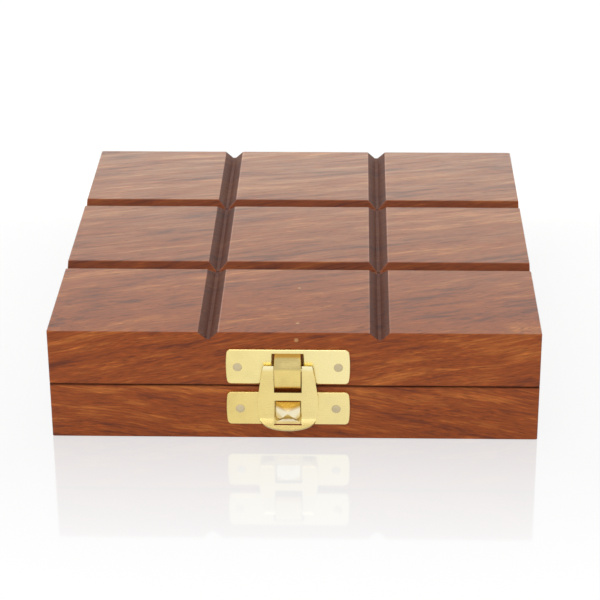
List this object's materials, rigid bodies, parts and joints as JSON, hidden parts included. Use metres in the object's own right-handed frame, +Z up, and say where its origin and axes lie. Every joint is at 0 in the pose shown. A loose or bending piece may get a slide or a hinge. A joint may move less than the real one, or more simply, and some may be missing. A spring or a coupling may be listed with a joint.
{
  "type": "folding game box",
  "caption": "Square wooden folding box with a noughts-and-crosses board scored on its lid, a brass hasp in front, and a peg solitaire board with playing pieces inside.",
  "frame": {"origin": "middle of the box's underside, on the surface it stands on", "axes": "+X to the right seen from the clasp, +Y to the hinges at the back, +Z up out of the lid"},
  "size_m": [0.127, 0.135, 0.0306],
  "materials": {
    "rosewood": "lacquered",
    "light_wood": "satin",
    "dark_wood": "satin",
    "brass": "polished",
    "steel": "plain"
  },
  "bodies": {
    "base": {"base_tray": "rosewood", "solitaire_board": "rosewood", "catch_plate": "brass", "catch_plate_nails": "steel", "hinge_left_base_leaf": "brass", "hinge_right_base_leaf": "brass", "hinge_left_pin": "steel", "hinge_right_pin": "steel", "hinge_base_nails": "steel"},
    "top": {"lid": "rosewood", "clasp_plate": "brass", "clasp_plate_nails": "steel", "hinge_left_lid_leaf": "brass", "hinge_right_lid_leaf": "brass", "hinge_lid_nails": "steel"},
    "hasp": {"clasp_hasp": "brass"},
    "nought_1": {"nought_1": "light_wood"},
    "nought_2": {"nought_2": "light_wood"},
    "nought_3": {"nought_3": "light_wood"},
    "nought_4": {"nought_4": "light_wood"},
    "nought_5": {"nought_5": "light_wood"},
    "cross_1": {"cross_1": "dark_wood"},
    "cross_2": {"cross_2": "dark_wood"},
    "cross_3": {"cross_3": "dark_wood"},
    "cross_4": {"cross_4": "dark_wood"},
    "cross_5": {"cross_5": "dark_wood"},
    "peg_01": {"peg_01": "light_wood"},
    "peg_02": {"peg_02": "light_wood"},
    "peg_03": {"peg_03": "light_wood"},
    "peg_04": {"peg_04": "light_wood"},
    "peg_05": {"peg_05": "light_wood"},
    "peg_06": {"peg_06": "light_wood"},
    "peg_07": {"peg_07": "light_wood"},
    "peg_08": {"peg_08": "light_wood"},
    "peg_09": {"peg_09": "light_wood"},
    "peg_10": {"peg_10": "light_wood"},
    "peg_11": {"peg_11": "light_wood"},
    "peg_12": {"peg_12": "light_wood"},
    "peg_13": {"peg_13": "light_wood"},
    "peg_14": {"peg_14": "light_wood"},
    "peg_15": {"peg_15": "light_wood"},
    "peg_16": {"peg_16": "light_wood"},
    "peg_17": {"peg_17": "light_wood"},
    "peg_18": {"peg_18": "light_wood"},
    "peg_19": {"peg_19": "light_wood"},
    "peg_20": {"peg_20": "light_wood"},
    "peg_21": {"peg_21": "light_wood"},
    "peg_22": {"peg_22": "light_wood"},
    "peg_23": {"peg_23": "light_wood"},
    "peg_24": {"peg_24": "light_wood"},
    "peg_25": {"peg_25": "light_wood"},
    "peg_26": {"peg_26": "light_wood"},
    "peg_27": {"peg_27": "light_wood"},
    "peg_28": {"peg_28": "light_wood"},
    "peg_29": {"peg_29": "light_wood"},
    "peg_30": {"peg_30": "light_wood"},
    "peg_31": {"peg_31": "light_wood"},
    "peg_32": {"peg_32": "light_wood"}
  },
  "joints": [
    {"name": "box_lid_swing", "type": "hinge", "parent": "base", "child": "top", "pos_m": [0, 0.0651, 0.0153], "axis": [-1, 0, 0], "range_deg": [0, 180]},
    {"name": "clasp_swing", "type": "hinge", "parent": "top", "child": "hasp", "pos_m": [-0.0015, -0.0653, 0.021], "axis": [-1, 0, 0], "range_deg": [0, 110]},
    {"name": "cross_1_lift", "type": "slide", "parent": "base", "child": "cross_1", "axis": [0, 0, 1], "range_m": [0, 0.009]},
    {"name": "cross_2_lift", "type": "slide", "parent": "cross_1", "child": "cross_2", "axis": [0, 0, 1], "range_m": [0, 0.009]},
    {"name": "cross_3_lift", "type": "slide", "parent": "cross_2", "child": "cross_3", "axis": [0, 0, 1], "range_m": [0, 0.009]},
    {"name": "cross_4_lift", "type": "slide", "parent": "base", "child": "cross_4", "axis": [0, 0, 1], "range_m": [0, 0.009]},
    {"name": "cross_5_lift", "type": "slide", "parent": "cross_4", "child": "cross_5", "axis": [0, 0, 1], "range_m": [0, 0.009]},
    {"name": "nought_1_lift", "type": "slide", "parent": "base", "child": "nought_1", "axis": [0, 0, 1], "range_m": [0, 0.009]},
    {"name": "nought_2_lift", "type": "slide", "parent": "nought_1", "child": "nought_2", "axis": [0, 0, 1], "range_m": [0, 0.009]},
    {"name": "nought_3_lift", "type": "slide", "parent": "nought_2", "child": "nought_3", "axis": [0, 0, 1], "range_m": [0, 0.009]},
    {"name": "nought_4_lift", "type": "slide", "parent": "base", "child": "nought_4", "axis": [0, 0, 1], "range_m": [0, 0.009]},
    {"name": "nought_5_lift", "type": "slide", "parent": "nought_4", "child": "nought_5", "axis": [0, 0, 1], "range_m": [0, 0.009]},
    {"name": "peg_01_lift", "type": "slide", "parent": "base", "child": "peg_01", "axis": [0, 0, 1], "range_m": [0, 0.0065]},
    {"name": "peg_02_lift", "type": "slide", "parent": "base", "child": "peg_02", "axis": [0, 0, 1], "range_m": [0, 0.0065]},
    {"name": "peg_03_lift", "type": "slide", "parent": "base", "child": "peg_03", "axis": [0, 0, 1], "range_m": [0, 0.0065]},
    {"name": "peg_04_lift", "type": "slide", "parent": "base", "child": "peg_04", "axis": [0, 0, 1], "range_m": [0, 0.0065]},
    {"name": "peg_05_lift", "type": "slide", "parent": "base", "child": "peg_05", "axis": [0, 0, 1], "range_m": [0, 0.0065]},
    {"name": "peg_06_lift", "type": "slide", "parent": "base", "child": "peg_06", "axis": [0, 0, 1], "range_m": [0, 0.0065]},
    {"name": "peg_07_lift", "type": "slide", "parent": "base", "child": "peg_07", "axis": [0, 0, 1], "range_m": [0, 0.0065]},
    {"name": "peg_08_lift", "type": "slide", "parent": "base", "child": "peg_08", "axis": [0, 0, 1], "range_m": [0, 0.0065]},
    {"name": "peg_09_lift", "type": "slide", "parent": "base", "child": "peg_09", "axis": [0, 0, 1], "range_m": [0, 0.0065]},
    {"name": "peg_10_lift", "type": "slide", "parent": "base", "child": "peg_10", "axis": [0, 0, 1], "range_m": [0, 0.0065]},
    {"name": "peg_11_lift", "type": "slide", "parent": "base", "child": "peg_11", "axis": [0, 0, 1], "range_m": [0, 0.0065]},
    {"name": "peg_12_lift", "type": "slide", "parent": "base", "child": "peg_12", "axis": [0, 0, 1], "range_m": [0, 0.0065]},
    {"name": "peg_13_lift", "type": "slide", "parent": "base", "child": "peg_13", "axis": [0, 0, 1], "range_m": [0, 0.0065]},
    {"name": "peg_14_lift", "type": "slide", "parent": "base", "child": "peg_14", "axis": [0, 0, 1], "range_m": [0, 0.0065]},
    {"name": "peg_15_lift", "type": "slide", "parent": "base", "child": "peg_15", "axis": [0, 0, 1], "range_m": [0, 0.0065]},
    {"name": "peg_16_lift", "type": "slide", "parent": "base", "child": "peg_16", "axis": [0, 0, 1], "range_m": [0, 0.0065]},
    {"name": "peg_17_lift", "type": "slide", "parent": "base", "child": "peg_17", "axis": [0, 0, 1], "range_m": [0, 0.0065]},
    {"name": "peg_18_lift", "type": "slide", "parent": "base", "child": "peg_18", "axis": [0, 0, 1], "range_m": [0, 0.0065]},
    {"name": "peg_19_lift", "type": "slide", "parent": "base", "child": "peg_19", "axis": [0, 0, 1], "range_m": [0, 0.0065]},
    {"name": "peg_20_lift", "type": "slide", "parent": "base", "child": "peg_20", "axis": [0, 0, 1], "range_m": [0, 0.0065]},
    {"name": "peg_21_lift", "type": "slide", "parent": "base", "child": "peg_21", "axis": [0, 0, 1], "range_m": [0, 0.0065]},
    {"name": "peg_22_lift", "type": "slide", "parent": "base", "child": "peg_22", "axis": [0, 0, 1], "range_m": [0, 0.0065]},
    {"name": "peg_23_lift", "type": "slide", "parent": "base", "child": "peg_23", "axis": [0, 0, 1], "range_m": [0, 0.0065]},
    {"name": "peg_24_lift", "type": "slide", "parent": "base", "child": "peg_24", "axis": [0, 0, 1], "range_m": [0, 0.0065]},
    {"name": "peg_25_lift", "type": "slide", "parent": "base", "child": "peg_25", "axis": [0, 0, 1], "range_m": [0, 0.0065]},
    {"name": "peg_26_lift", "type": "slide", "parent": "base", "child": "peg_26", "axis": [0, 0, 1], "range_m": [0, 0.0065]},
    {"name": "peg_27_lift", "type": "slide", "parent": "base", "child": "peg_27", "axis": [0, 0, 1], "range_m": [0, 0.0065]},
    {"name": "peg_28_lift", "type": "slide", "parent": "base", "child": "peg_28", "axis": [0, 0, 1], "range_m": [0, 0.0065]},
    {"name": "peg_29_lift", "type": "slide", "parent": "base", "child": "peg_29", "axis": [0, 0, 1], "range_m": [0, 0.0065]},
    {"name": "peg_30_lift", "type": "slide", "parent": "base", "child": "peg_30", "axis": [0, 0, 1], "range_m": [0, 0.0065]},
    {"name": "peg_31_lift", "type": "slide", "parent": "base", "child": "peg_31", "axis": [0, 0, 1], "range_m": [0, 0.0065]},
    {"name": "peg_32_lift", "type": "slide", "parent": "base", "child": "peg_32", "axis": [0, 0, 1], "range_m": [0, 0.0065]}
  ]
}
